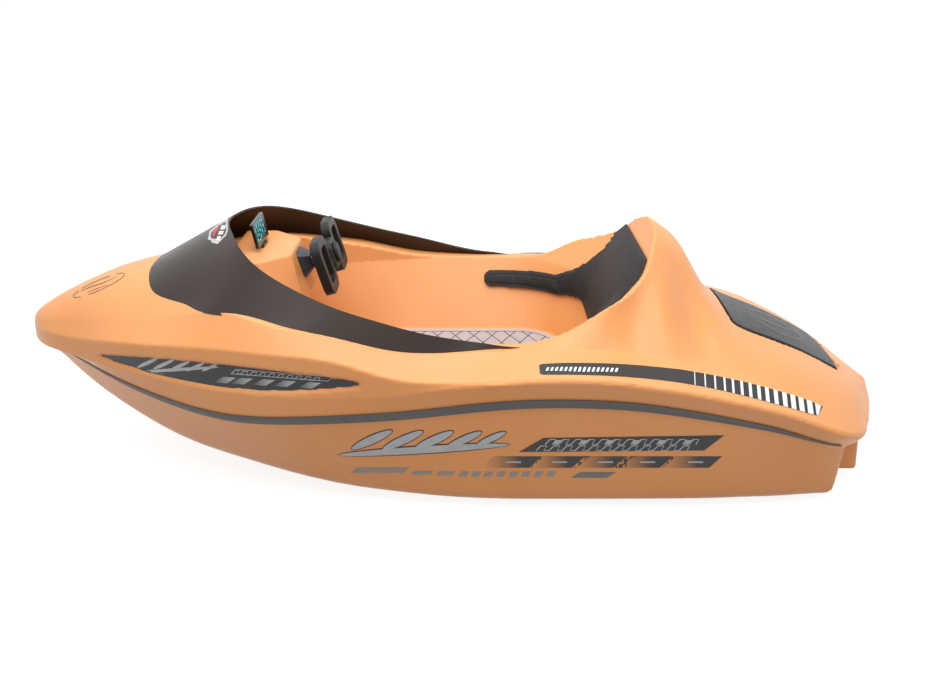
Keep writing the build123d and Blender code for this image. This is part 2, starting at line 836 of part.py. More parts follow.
# Floor mat, following the floor's rounded rear end
with BuildPart() as mat:
    mat_aft_x = floor_aft_x + mat_margin
    with BuildSketch(Plane.XY.offset(floor_z)):
        with Locations(((mat_front_x + mat_aft_x) / 2, 0)):
            Rectangle(mat_front_x - mat_aft_x, 2 * (floor_half_width - mat_margin))
        fillet(vertices().group_by(Axis.X)[0], floor_round - mat_margin)
        fillet(vertices().group_by(Axis.X)[-1], mat_margin)
    extrude(amount=mat_thick)

# Backrest pad: a layer on the cockpit's wall, cut to its outline in side view
with BuildPart() as pad_band:
    with BuildSketch(Plane.XZ.offset(-half_beam)):
        with BuildLine():
            tip_low = (pad_tip_x, pad_arm_low_z)
            tip_high = (pad_tip_x, pad_arm_high_z)
            rise = (pad_rise_x, pad_arm_high_z + pad_rise)
            top = (pad_top_x, pad_top_z)
            behind = (mouth_aft_x - overrun, pad_top_z)
            behind_low = (mouth_aft_x - overrun, pad_low_z)
            dip = (elbow_aft_x, pad_low_z)
            bend = (pad_rise_x, pad_arm_low_z - pad_rise)
            ThreePointArc(tip_low, (pad_tip_x + pad_round, (tip_low[1] + tip_high[1]) / 2), tip_high)
            Line(tip_high, rise)
            ThreePointArc(rise, (pad_shoulder_x, pad_shoulder_z), top)
            Line(top, behind)
            Line(behind, behind_low)
            Line(behind_low, dip)
            Line(dip, bend)
            Line(bend, tip_low)
        make_face()
    extrude(amount=beam)

with BuildPart() as pad:
    add(cockpit_space(seat_gap))
    add(cockpit_space(seat_gap + pad_thick), mode=Mode.SUBTRACT)
    add(pad_band.part, mode=Mode.INTERSECT)
    add(body.part.moved(Location((0, 0, -pad_rim_drop))), mode=Mode.INTERSECT)

# Footwell fittings: throttle pedal on its plate, and a foot rest
with BuildPart() as plate:
    with BuildSketch(Plane.XY.offset(floor_z)):
        with Locations((pedal_x, pedal_y)):
            RectangleRounded(plate_length, plate_width, plate_thick)
    extrude(amount=plate_thick)

with BuildPart() as pedal:
    pedal_plane = Plane(
        origin=(pedal_x - pedal_thick, pedal_y, floor_z + plate_thick),
        x_dir=(0, 1, 0),
        z_dir=(-math.sin(math.radians(pedal_rake)), 0, math.cos(math.radians(pedal_rake))),
    )
    with BuildSketch(pedal_plane):
        with Locations((0, -pedal_length / 2)):
            RectangleRounded(pedal_width, pedal_length, pedal_thick)
    extrude(amount=pedal_thick)
    with BuildSketch(Plane.XY.offset(floor_z + plate_thick)):
        with Locations((pedal_x, pedal_y)):
            Rectangle(2 * pedal_thick, pedal_width / 2)
    extrude(until=Until.NEXT)

with BuildPart() as rest:
    with BuildSketch(Plane.XZ.offset(-(rest_y + pedal_width))):
        with BuildLine():
            Polyline(
                (rest_x - rest_length / 2, floor_z),
                (rest_x + rest_length / 2, floor_z),
                (rest_x + rest_length / 2, floor_z + rest_height),
                (rest_x + rest_length / 4, floor_z + rest_height),
                close=True,
            )
        make_face()
    extrude(amount=pedal_width)

# Stern housing under the overhang, with a tunnel for the jet
with BuildPart() as housing:
    with BuildSketch(Plane.XY.offset(housing_base_z)):
        with Locations(((transom_x + housing_aft_x) / 2, 0)):
            Rectangle(transom_x - housing_aft_x, 2 * housing_half_width)
        fillet(vertices().group_by(Axis.X)[0], housing_taper)
    extrude(amount=height / 2, taper=housing_draft)
    with BuildSketch(Plane.YZ.offset(housing_aft_x - overrun)):
        with Locations((0, housing_tunnel_z / 2)):
            RectangleRounded(2 * housing_tunnel_half, housing_tunnel_z, 2 * housing_taper)
    extrude(amount=transom_x - housing_aft_x + 2 * overrun, mode=Mode.SUBTRACT)
    with BuildSketch(Plane.YZ.offset(housing_aft_x - overrun)):
        with Locations((0, housing_base_z / 2)):
            Rectangle(2 * housing_tunnel_half, housing_tunnel_z / 2)
    extrude(amount=transom_x - housing_aft_x + 2 * overrun, mode=Mode.SUBTRACT)
    add(hull_region.part, mode=Mode.INTERSECT)
    with BuildSketch(Plane.XY):
        with Locations((transom_x + half_length, 0)):
            Rectangle(2 * half_length, beam)
    extrude(amount=height, mode=Mode.SUBTRACT)

# Pump duct with the two ears that carry the nozzle's pins
with BuildPart() as duct:
    with BuildSketch(Plane.YZ.offset(duct_front_x)):
        with Locations((0, jet_z)):
            Circle(duct_radius)
            Circle(duct_bore, mode=Mode.SUBTRACT)
    extrude(amount=duct_aft_x - duct_front_x)
    for side in (1, -1):
        with BuildSketch(Plane.XY.offset(jet_z + side * (nozzle_radius + ear_gap))):
            with Locations(((duct_aft_x + nozzle_pivot_x) / 2, 0)):
                Rectangle(duct_aft_x - nozzle_pivot_x + ear_lap, ear_width)
            with Locations((nozzle_pivot_x, 0)):
                Circle(ear_width / 2)
        extrude(amount=side * ear_thick)
    with BuildSketch(Plane.XY.offset(jet_z - duct_radius)):
        with Locations((nozzle_pivot_x, 0)):
            Circle(pin_radius + seat_gap)
    extrude(amount=2 * duct_radius, mode=Mode.SUBTRACT)

# Steered nozzle: a tapered tube on two upright pins
with BuildPart() as nozzle:
    with BuildSketch(Plane.YZ.offset(nozzle_front_x)):
        with Locations((0, jet_z)):
            Circle(nozzle_radius)
    with BuildSketch(Plane.YZ.offset(nozzle_aft_x)):
        with Locations((0, jet_z)):
            Circle(nozzle_tip_radius)
    loft(ruled=True)
    with BuildSketch(Plane.XY.offset(jet_z - nozzle_radius - ear_gap - ear_thick)):
        with Locations((nozzle_pivot_x, 0)):
            Circle(pin_radius)
    extrude(amount=2 * (nozzle_radius + ear_gap + ear_thick))
    with BuildSketch(Plane.YZ.offset(nozzle_front_x)):
        with Locations((0, jet_z)):
            Circle(nozzle_radius - nozzle_wall)
    with BuildSketch(Plane.YZ.offset(nozzle_aft_x)):
        with Locations((0, jet_z)):
            Circle(nozzle_tip_radius - nozzle_wall)
    loft(ruled=True, mode=Mode.SUBTRACT)

# Impeller on the drive shaft
with BuildPart() as impeller:
    with BuildSketch(Plane.YZ.offset(impeller_x)):
        with Locations((0, jet_z)):
            Circle(impeller_hub)
    extrude(amount=impeller_width / 2, both=True)
    for turn in range(impeller_blades):
        around = Plane(
            origin=(impeller_x, 0, jet_z), x_dir=(1, 0, 0), z_dir=(0, 0, 1)
        ).rotated((turn * 360 / impeller_blades, 0, 0))
        with BuildSketch(around):
            with Locations(Rotation(0, 0, blade_pitch)):
                Rectangle(impeller_width, blade_thick)
        extrude(amount=impeller_radius)
    with BuildSketch(Plane.YZ.offset(impeller_x)):
        with Locations((0, jet_z)):
            Circle(drive_shaft_radius)
    extrude(amount=shaft_front_x - impeller_x)

with BuildPart() as grate:
    with BuildSketch():
        spacing = 2 * intake_half_width / (grate_bars + 1)
        with Locations(((intake_front_x + intake_aft_x) / 2, 0)):
            with GridLocations(0, spacing, 1, grate_bars):
                Rectangle(intake_front_x - intake_aft_x + overrun, grate_bar)
    extrude(amount=grate_height)
    add(passage.part, mode=Mode.INTERSECT)

with BuildPart() as strakes:
    with BuildSketch(Plane.XY.offset(strake_lift)):
        with Locations(*[((strake_front_x + strake_aft_x) / 2, side * strake_y) for side in (1, -1)]):
            SlotOverall(strake_front_x - strake_aft_x, strake_width)
    extrude(amount=strake_height)
    add(body.part, mode=Mode.SUBTRACT)

with BuildPart() as plug:
    with BuildSketch(Plane.YZ.offset(transom_x)):
        with Locations((plug_y, plug_z)):
            Circle(plug_radius)
    extrude(amount=plug_length)
    with BuildSketch(Plane.YZ.offset(transom_x)):
        with Locations((plug_y, plug_z)):
            RegularPolygon(plug_flange, 6)
    extrude(amount=-plug_flange / 3)

pieces = {
    "hull_shell": hull,
    "deck_moulding": deck,
    "stern_housing": housing,
    "rub_strips": strips,
    "scoop_inlays": inlays,
    "screen": screen,
    "console": console,
    "display_panel": display,
    "display_foot": display_foot,
    "column_boot": boot,
    "steering_shaft": shaft,
    "steering_hub": hub,
    "hub_cover": cover,
    "steering_yoke": yoke,
    "floor_mat": mat,
    "backrest_pad": pad,
    "pedal_plate": plate,
    "throttle_pedal": pedal,
    "foot_rest": rest,
    "hatch_lid": lid,
    "hatch_seal": seal,
    "hatch_hinges": hinges,
    "drive_block": drive_block,
    "pump_duct": duct,
    "jet_nozzle": nozzle,
    "impeller": impeller,
    "intake_grate": grate,
    "ride_plate": ride_plate,
    "keel_strakes": strakes,
    "drain_plug": plug,
}
os.makedirs("parts", exist_ok=True)
for name, piece in pieces.items():
    piece.part.label = name
    export_step(piece.part, f"parts/{name}.step")
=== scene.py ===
"""A one-seat kart boat, dressed over its CAD parts: moulded skin, smoked screen, pad, mat and marks."""

import math

import bmesh
import bpy
import numpy as np
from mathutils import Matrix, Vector
from mathutils.bvhtree import BVHTree
from mathutils.kdtree import KDTree
from mathutils.geometry import delaunay_2d_cdt


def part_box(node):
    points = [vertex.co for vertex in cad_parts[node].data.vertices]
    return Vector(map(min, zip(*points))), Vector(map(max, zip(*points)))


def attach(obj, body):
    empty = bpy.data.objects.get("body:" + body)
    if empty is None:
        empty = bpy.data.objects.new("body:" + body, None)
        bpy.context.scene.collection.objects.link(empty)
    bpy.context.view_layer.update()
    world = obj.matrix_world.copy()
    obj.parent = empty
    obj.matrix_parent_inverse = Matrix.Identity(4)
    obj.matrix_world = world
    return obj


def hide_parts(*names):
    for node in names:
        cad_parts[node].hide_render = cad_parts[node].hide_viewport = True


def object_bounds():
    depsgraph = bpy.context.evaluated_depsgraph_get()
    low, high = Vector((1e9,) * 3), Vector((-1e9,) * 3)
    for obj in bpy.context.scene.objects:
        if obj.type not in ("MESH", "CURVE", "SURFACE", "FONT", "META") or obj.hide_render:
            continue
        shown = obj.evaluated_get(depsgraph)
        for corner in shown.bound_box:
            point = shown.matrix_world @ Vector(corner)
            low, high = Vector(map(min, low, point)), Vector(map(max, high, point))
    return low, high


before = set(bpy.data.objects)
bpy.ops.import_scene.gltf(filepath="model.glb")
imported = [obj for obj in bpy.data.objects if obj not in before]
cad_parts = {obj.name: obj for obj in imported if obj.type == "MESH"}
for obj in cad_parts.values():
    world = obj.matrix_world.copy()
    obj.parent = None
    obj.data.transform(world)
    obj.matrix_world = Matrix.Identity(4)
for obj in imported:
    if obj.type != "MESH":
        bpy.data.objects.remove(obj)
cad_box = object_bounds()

MM = 0.001

# Camera: the photograph's frame is 930 pixels wide, with a focal length of 1000 of them
IMAGE_WIDTH_PX = 930
FOCAL_PX = 1000
SENSOR_MM = 36
CAMERA_PLACE = (-0.030, 2.800, 1.436)
CAMERA_PITCH = math.radians(22.3)

# Studio light
WORLD_LIGHT = 0.60
LAMP_SIZE = 4.0
LAMP_PLACE = (0.0, 0.35, 3.3)
LAMP_WATTS = 118
FLOOR_COLOUR = 0.36
FLOOR_GLOW = 0.86
FLOOR_REACH = 40

# Colours, linear red, green and blue
ORANGE = (0.90, 0.385, 0.135)
ORANGE_WARM = (0.86, 0.345, 0.105)
STRIPE_GREY = (0.105, 0.098, 0.092)
GLOSS_BLACK = (0.008, 0.008, 0.009)
# Both smoke colours are tinted warm as a painted reflection of the orange deck; the warmer one comes in random
# patches
SMOKE = (0.024, 0.014, 0.011)
SMOKE_ORANGE_REFLECTION = (0.036, 0.021, 0.015)
HATCH_GREY = (0.030, 0.032, 0.034)
YOKE_GREY = (0.014, 0.013, 0.012)
BOOT_BLACK = (0.012, 0.012, 0.013)
LEATHER = (0.012, 0.010, 0.010)
MAT_LAVENDER = (0.50, 0.445, 0.450)
MAT_LINE = (0.060, 0.026, 0.012)
MARK_WHITE = (0.85, 0.85, 0.84)
MARK_GREY = (0.56, 0.56, 0.57)
MARK_DARK = (0.012, 0.012, 0.013)
GHOST_GREY = (0.36, 0.32, 0.29)
SCRATCH_GREY = (0.20, 0.15, 0.12)
BADGE_RED = (0.55, 0.03, 0.06)
STRIP_BLACK = (0.007, 0.007, 0.008)
GHOST_DARK = (0.20, 0.19, 0.18)
GHOST_BLOCK = (0.09, 0.09, 0.095)
HATCH_INK = (0.13, 0.135, 0.14)
STEEL = (0.72, 0.73, 0.75)
ALUMINIUM = (0.60, 0.61, 0.63)
BRASS = (0.62, 0.45, 0.18)
DRIVE_GREY = (0.16, 0.165, 0.17)
TEAL = (0.02, 0.62, 0.66)


def node_group(material):
    """The node tree of a new material, with its shader and its object coordinates."""
    tree = material.node_tree
    shader = tree.nodes["Principled BSDF"]
    place = tree.nodes.new("ShaderNodeTexCoord").outputs["Object"]
    return tree, shader, place


def noise(tree, place, scale, detail=3.0):
    """A noise texture's value."""
    node = tree.nodes.new("ShaderNodeTexNoise")
    node.inputs["Scale"].default_value = scale
    node.inputs["Detail"].default_value = detail
    tree.links.new(place, node.inputs["Vector"])
    return node.outputs["Fac"]


def spread(tree, value, low, high, start=0.3, end=0.7):
    """A value brought into a range."""
    node = tree.nodes.new("ShaderNodeMapRange")
    node.inputs["From Min"].default_value = start
    node.inputs["From Max"].default_value = end
    node.inputs["To Min"].default_value = low
    node.inputs["To Max"].default_value = high
    tree.links.new(value, node.inputs["Value"])
    return node.outputs["Result"]


def mixed(tree, amount, first, second):
    """A colour between two others. Each is three numbers or another node's socket."""
    node = tree.nodes.new("ShaderNodeMix")
    node.data_type = "RGBA"
    tree.links.new(amount, node.inputs["Factor"])
    for socket, colour in ((node.inputs[6], first), (node.inputs[7], second)):
        if isinstance(colour, tuple):
            socket.default_value = (*colour, 1.0)
        else:
            tree.links.new(colour, socket)
    return node.outputs[2]


def bump(tree, shader, height, depth, strength=1.0):
    """Relief on the shader, with its depth in metres."""
    node = tree.nodes.new("ShaderNodeBump")
    node.inputs["Distance"].default_value = depth
    node.inputs["Strength"].default_value = strength
    tree.links.new(height, node.inputs["Height"])
    tree.links.new(node.outputs["Normal"], shader.inputs["Normal"])


def surface(name, colour, other, roughness, grain=900.0, depth=0.0, patch=6.0, metal=0.0, shine=0.5):
    """A moulded, painted or metal surface: two close colours in patches, uneven gloss and a fine grain."""
    material = bpy.data.materials.new(name)
    material.use_nodes = True
    tree, shader, place = node_group(material)
    shader.inputs["Metallic"].default_value = metal
    shader.inputs["Specular IOR Level"].default_value = shine
    patches = spread(tree, noise(tree, place, patch), 0.0, 1.0)
    tree.links.new(mixed(tree, patches, colour, other), shader.inputs["Base Color"])
    low, high = roughness
    tree.links.new(spread(tree, noise(tree, place, patch * 9.0), low, high), shader.inputs["Roughness"])
    if depth:
        bump(tree, shader, noise(tree, place, grain, 2.0), depth)
    return material


def near(colour, factor):
    """A colour a little lighter or darker."""
    return tuple(c * factor for c in colour)


def leather_material():
    """Fine-grained black leather: small cells with soft creases between them."""
    material = bpy.data.materials.new("pad_leather")
    material.use_nodes = True
    tree, shader, place = node_group(material)
    cells = tree.nodes.new("ShaderNodeTexVoronoi")
    cells.inputs["Scale"].default_value = 330.0
    tree.links.new(place, cells.inputs["Vector"])
    shade = spread(tree, noise(tree, place, 14.0), 0.0, 1.0)
    hide = mixed(tree, shade, LEATHER, near(LEATHER, 1.5))
    edge = tree.nodes.new("ShaderNodeAttribute")
    edge.attribute_name = "shade"
    tree.links.new(mixed(tree, edge.outputs["Fac"], hide, near(LEATHER, 1.6)), shader.inputs["Base Color"])
    tree.links.new(spread(tree, cells.outputs["Distance"], 0.42, 0.62, 0.0, 0.7), shader.inputs["Roughness"])
    shader.inputs["Specular IOR Level"].default_value = 0.28
    bump(tree, shader, cells.outputs["Distance"], 0.0006, 0.55)
    return material


def math_node(tree, operation, first, second=0.0):
    """One step of arithmetic on sockets or numbers."""
    node = tree.nodes.new("ShaderNodeMath")
    node.operation = operation
    for socket, value in ((node.inputs[0], first), (node.inputs[1], second)):
        if isinstance(value, (int, float)):
            socket.default_value = value
        else:
            tree.links.new(value, socket)
    return node.outputs[0]


def mat_material(pitch_x, pitch_y, line):
    """Cushioned mat with pressed dark lines that cross in long diamonds."""
    material = bpy.data.materials.new("mat_fabric")
    material.use_nodes = True
    tree, shader, place = node_group(material)
    axes = tree.nodes.new("ShaderNodeSeparateXYZ")
    tree.links.new(place, axes.inputs["Vector"])
    along = math_node(tree, "DIVIDE", axes.outputs["X"], pitch_x)
    across = math_node(tree, "DIVIDE", axes.outputs["Y"], pitch_y)
    lines = []
    for operation in ("ADD", "SUBTRACT"):
        turns = math_node(tree, "FRACT", math_node(tree, operation, along, across))
        lines.append(math_node(tree, "ABSOLUTE", math_node(tree, "SUBTRACT", turns, 0.5)))
    nearest = math_node(tree, "MINIMUM", *lines)
    pressed = spread(tree, nearest, 0.0, 1.0, line * 0.8 / pitch_x, line * 1.3 / pitch_x)
    weave = spread(tree, noise(tree, place, 700.0, 1.0), 0.0, 1.0)
    cloth = mixed(tree, weave, near(MAT_LAVENDER, 0.92), MAT_LAVENDER)
    tree.links.new(mixed(tree, pressed, MAT_LINE, cloth), shader.inputs["Base Color"])
    shader.inputs["Roughness"].default_value = 0.78
    raised = math_node(tree, "ADD", pressed, math_node(tree, "MULTIPLY", weave, 0.25))
    bump(tree, shader, raised, 0.0012)
    return material


def smoke_material():
    """Smoked acrylic: nearly black, tinted warm with a painted reflection of the orange deck in random patches,
    with a broad sheen.
    """
    material = surface("smoked_screen", SMOKE, SMOKE_ORANGE_REFLECTION, (0.30, 0.36), patch=3.0)
    shader = material.node_tree.nodes["Principled BSDF"]
    shader.inputs["Specular IOR Level"].default_value = 0.42
    return material


def shaded_material(name, light, dark):
    """Ink that runs from one colour to another, as each mark's own shade attribute says."""
    material = bpy.data.materials.new(name)
    material.use_nodes = True
    tree, shader, place = node_group(material)
    shade = tree.nodes.new("ShaderNodeAttribute")
    shade.attribute_name = "shade"
    speck = spread(tree, noise(tree, place, 300.0, 1.0), -0.03, 0.03)
    amount = math_node(tree, "ADD", shade.outputs["Fac"], speck)
    tree.links.new(mixed(tree, amount, light, dark), shader.inputs["Base Color"])
    shader.inputs["Roughness"].default_value = 0.42
    return material


def glow_material(name, colour, strength):
    """Lit display ink."""
    material = surface(name, near(colour, 0.4), near(colour, 0.5), (0.3, 0.4), patch=40.0)
    shader = material.node_tree.nodes["Principled BSDF"]
    shader.inputs["Emission Color"].default_value = (*colour, 1.0)
    shader.inputs["Emission Strength"].default_value = strength
    return material


def make_materials():
    """Every finish, by the name of the record's slot where it has one."""
    return {
        "body_orange": surface("body_orange", ORANGE, ORANGE_WARM, (0.34, 0.42), 1400.0, 0.00004, 3.0),
        "rub_grey": surface("rub_grey", STRIPE_GREY, near(STRIPE_GREY, 0.85), (0.45, 0.55), 900.0, 0.00005),
        "gloss_black": surface("gloss_black", GLOSS_BLACK, near(GLOSS_BLACK, 1.5), (0.22, 0.30)),
        "smoked_screen": smoke_material(),
        "display_black": surface("display_black", GLOSS_BLACK, near(GLOSS_BLACK, 2.0), (0.16, 0.24)),
        "black_plastic": surface(
            "black_plastic", BOOT_BLACK, near(BOOT_BLACK, 1.6), (0.30, 0.42), 900.0, 0.00006),
        "charcoal_plastic": surface(
            "charcoal_plastic", YOKE_GREY, near(YOKE_GREY, 1.3), (0.36, 0.48), 1100.0, 0.0001, shine=0.3),
        "bright_steel": surface("bright_steel", STEEL, near(STEEL, 0.9), (0.14, 0.24), metal=1.0, patch=60.0),
        "mat_fabric": mat_material(0.058, 0.118, 0.0016),
        "pad_leather": leather_material(),
        "hatch_grey": surface(
            "hatch_grey", HATCH_GREY, near(HATCH_GREY, 1.12), (0.38, 0.46), 1500.0, 0.00008, shine=0.3),
        "seal_rubber": surface("seal_rubber", BOOT_BLACK, near(BOOT_BLACK, 1.4), (0.60, 0.72)),
        "drive_grey": surface("drive_grey", DRIVE_GREY, near(DRIVE_GREY, 1.2), (0.45, 0.58), 500.0, 0.0001),
        "jet_aluminium": surface(
            "jet_aluminium", ALUMINIUM, near(ALUMINIUM, 0.85), (0.26, 0.38), 400.0, 0.00008, metal=1.0),
        "brass": surface("brass", BRASS, near(BRASS, 0.85), (0.25, 0.36), metal=1.0, patch=80.0),
        "mark_white": surface("mark_white", MARK_WHITE, near(MARK_WHITE, 0.94), (0.40, 0.50), patch=30.0),
        "mark_grey": surface("mark_grey", MARK_GREY, near(MARK_GREY, 0.88), (0.40, 0.50), patch=30.0),
        "mark_dark": surface("mark_dark", MARK_DARK, near(MARK_DARK, 1.3), (0.40, 0.50), patch=30.0),
        "ghost_grey": surface("ghost_grey", GHOST_GREY, near(GHOST_GREY, 0.9), (0.40, 0.50), patch=30.0),
        "scratch_grey": surface(
            "scratch_grey", SCRATCH_GREY, near(SCRATCH_GREY, 0.85), (0.45, 0.55), patch=30.0),
        "strip_black": surface(
            "strip_black", STRIP_BLACK, near(STRIP_BLACK, 1.2), (0.45, 0.52), patch=20.0),
        "ghost_dark": surface("ghost_dark", GHOST_DARK, near(GHOST_DARK, 0.9), (0.40, 0.50), patch=30.0),
        "ghost_block": surface("ghost_block", GHOST_BLOCK, near(GHOST_BLOCK, 0.9), (0.40, 0.50), patch=30.0),
        "hatch_ink": surface("hatch_ink", HATCH_INK, near(HATCH_INK, 0.9), (0.40, 0.50), patch=30.0),
        "mat_plain": surface(
            "mat_plain", near(MAT_LAVENDER, 0.97), MAT_LAVENDER, (0.74, 0.82), 700.0, 0.0003, 300.0),
        "mat_seam": surface("mat_seam", MAT_LINE, near(MAT_LINE, 1.3), (0.70, 0.80), patch=60.0),
        "badge_red": surface("badge_red", BADGE_RED, near(BADGE_RED, 0.9), (0.40, 0.50), patch=30.0),
        "fading_ink": shaded_material("fading_ink", ORANGE, MARK_DARK),
        "fading_light": shaded_material("fading_light", MARK_DARK, MARK_GREY),
        "display_teal": glow_material("display_teal", TEAL, 0.55),
    }


def make_camera():
    """The camera at the photograph's own place."""
    data = bpy.data.cameras.new("camera")
    data.sensor_width = SENSOR_MM
    data.lens = SENSOR_MM * FOCAL_PX / IMAGE_WIDTH_PX
    camera = bpy.data.objects.new("camera", data)
    camera.location = CAMERA_PLACE
    camera.rotation_euler = (math.pi / 2 - CAMERA_PITCH, 0, math.pi)
    bpy.context.scene.collection.objects.link(camera)
    bpy.context.scene.camera = camera


def seen_directly(tree):
    """One for rays from the camera and for those by which gloss and glass show the background."""
    path = tree.nodes.new("ShaderNodeLightPath")
    either = math_node(tree, "MAXIMUM", path.outputs["Is Camera Ray"], path.outputs["Is Glossy Ray"])
    return math_node(tree, "MAXIMUM", either, path.outputs["Is Transmission Ray"])


def make_light():
    """Soft even light from a white room, and one broad lamp overhead."""
    world = bpy.data.worlds.new("room")
    bpy.context.scene.world = world
    world.use_nodes = True
    tree = world.node_tree
    background = tree.nodes["Background"]
    background.inputs["Color"].default_value = (1, 1, 1, 1)
    strength = spread(tree, seen_directly(tree), WORLD_LIGHT, 1.0, 0.0, 1.0)
    tree.links.new(strength, background.inputs["Strength"])
    data = bpy.data.lights.new("overhead", "AREA")
    data.shape = "SQUARE"
    data.size = LAMP_SIZE
    data.energy = LAMP_WATTS
    lamp = bpy.data.objects.new("overhead", data)
    lamp.location = LAMP_PLACE
    lamp.rotation_euler = (-Vector(LAMP_PLACE)).to_track_quat("-Z", "Y").to_euler()
    bpy.context.scene.collection.objects.link(lamp)


def make_floor():
    """A white floor that keeps the object's shadow."""
    reach = FLOOR_REACH
    mesh = bpy.data.meshes.new("floor")
    corners = [(-reach, -reach, 0), (reach, -reach, 0), (reach, reach, 0), (-reach, reach, 0)]
    mesh.from_pydata(corners, [], [(0, 1, 2, 3)])
    floor = bpy.data.objects.new("floor", mesh)
    floor.location.z = -0.002
    bpy.context.scene.collection.objects.link(floor)
    material = bpy.data.materials.new("floor_white")
    material.use_nodes = True
    tree, shader, place = node_group(material)
    paper = spread(tree, noise(tree, place, 2.0), 0.0, 1.0)
    grey = (FLOOR_COLOUR,) * 3
    tree.links.new(mixed(tree, paper, grey, near(grey, 1.02)), shader.inputs["Base Color"])
    shader.inputs["Roughness"].default_value = 0.9
    shader.inputs["Specular IOR Level"].default_value = 0.0
    shader.inputs["Emission Color"].default_value = (1, 1, 1, 1)
    glow = spread(tree, seen_directly(tree), 0.0, FLOOR_GLOW, 0.0, 1.0)
    tree.links.new(glow, shader.inputs["Emission Strength"])
    mesh.materials.append(material)


def cad_surface(names):
    """Vertices, triangles, normals at their corners and owner of each triangle, for several CAD nodes."""
    points, triangles, normals, owners = [], [], [], []
    start = 0
    for index, name in enumerate(names):
        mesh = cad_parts[name].data
        mesh.calc_loop_triangles()
        place = np.empty(len(mesh.vertices) * 3)
        mesh.vertices.foreach_get("co", place)
        corner = np.empty(len(mesh.loops) * 3)
        mesh.corner_normals.foreach_get("vector", corner)
        faces = np.empty(len(mesh.loop_triangles) * 3, dtype=np.int32)
        mesh.loop_triangles.foreach_get("vertices", faces)
        loops = np.empty(len(mesh.loop_triangles) * 3, dtype=np.int32)
        mesh.loop_triangles.foreach_get("loops", loops)
        points.append(place.reshape(-1, 3))
        triangles.append(faces.reshape(-1, 3) + start)
        normals.append(corner.reshape(-1, 3)[loops.reshape(-1, 3)])
        owners.append(np.full(len(mesh.loop_triangles), index))
        start += len(mesh.vertices)
    return tuple(np.concatenate(part) for part in (points, triangles, normals, owners))


def remeshed(name, points, triangles, voxel):
    """A closed mesh of even squares over the outside of some triangles."""
    mesh = bpy.data.meshes.new(name)
    mesh.from_pydata(points.tolist(), [], triangles.tolist())
    shell = bpy.data.objects.new(name, mesh)
    bpy.context.scene.collection.objects.link(shell)
    modifier = shell.modifiers.new("remesh", "REMESH")
    modifier.mode = "VOXEL"
    modifier.voxel_size = voxel
    graph = bpy.context.evaluated_depsgraph_get()
    made = bpy.data.meshes.new_from_object(shell.evaluated_get(graph))
    bpy.data.objects.remove(shell)
    bpy.data.meshes.remove(mesh)
    made.name = name
    return made


def read_points(mesh):
    """A mesh's vertices as rows."""
    place = np.empty(len(mesh.vertices) * 3)
    mesh.vertices.foreach_get("co", place)
    return place.reshape(-1, 3)


def relax(mesh, rounds, weight=1.0, keep=0.53):
    """Rounds a mesh's edges by evening each vertex with its neighbours, out and back to keep its size."""
    place = read_points(mesh)
    ends = np.empty(len(mesh.edges) * 2, dtype=np.int32)
    mesh.edges.foreach_get("vertices", ends)
    first, second = ends.reshape(-1, 2).T
    count = len(place)
    degree = np.bincount(ends, minlength=count)[:, None]
    weight = np.broadcast_to(np.asarray(weight, dtype=float).reshape(-1, 1), (count, 1))
    for turn in range(rounds * 2):
        total = np.empty_like(place)
        for axis in range(3):
            column = place[:, axis]
            total[:, axis] = np.bincount(first, column[second], count)
            total[:, axis] += np.bincount(second, column[first], count)
        step = 0.5 if turn % 2 == 0 else -keep
        place = place + (total / degree - place) * step * weight
    mesh.vertices.foreach_set("co", place.ravel())
    mesh.update()
    return place


def smooth_faces(mesh):
    """Shades every face smoothly."""
    mesh.polygons.foreach_set("use_smooth", [True] * len(mesh.polygons))


def add_piece(name, mesh, material, slot, body, *replaced):
    """Puts a finished mesh in the scene as a piece of the object."""
    piece = bpy.data.objects.new(name, mesh)
    bpy.context.scene.collection.objects.link(piece)
    mesh.materials.clear()
    mesh.materials.append(material)
    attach(piece, body)
    if replaced:
        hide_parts(*replaced)
    return piece


SKIN_NODES = ("hull_shell", "deck_moulding", "stern_housing", "console")
SKIN_VOXEL = 0.0068
SKIN_ROUNDS = 7
RIM_ROUNDS = 14
RIM_LOW = 0.46
RIM_FRONT = -0.22
RIM_AFT = -0.70
TRUE_ANGLE = (math.cos(math.radians(16)), math.cos(math.radians(7)))


def skin_weight(place):
    """How far each part of the skin is rounded: least in the fine gap round the hatch."""
    x, y, z = place.T
    hatch = (x < -0.735) & (x > -1.12) & (abs(y) < 0.235) & (z > 0.27)
    return np.where(hatch, 0.30, 1.0)


def rim_weight(place):
    """Where the skin is rounded further: along the thin rim between the cockpit and the head fairing."""
    x, y, z = place.T
    high = np.clip((z - RIM_LOW) / 0.03, 0, 1)
    ahead = np.clip((RIM_FRONT - x) / 0.05, 0, 1)
    return high * ahead * np.clip((x - RIM_AFT) / 0.05, 0, 1)


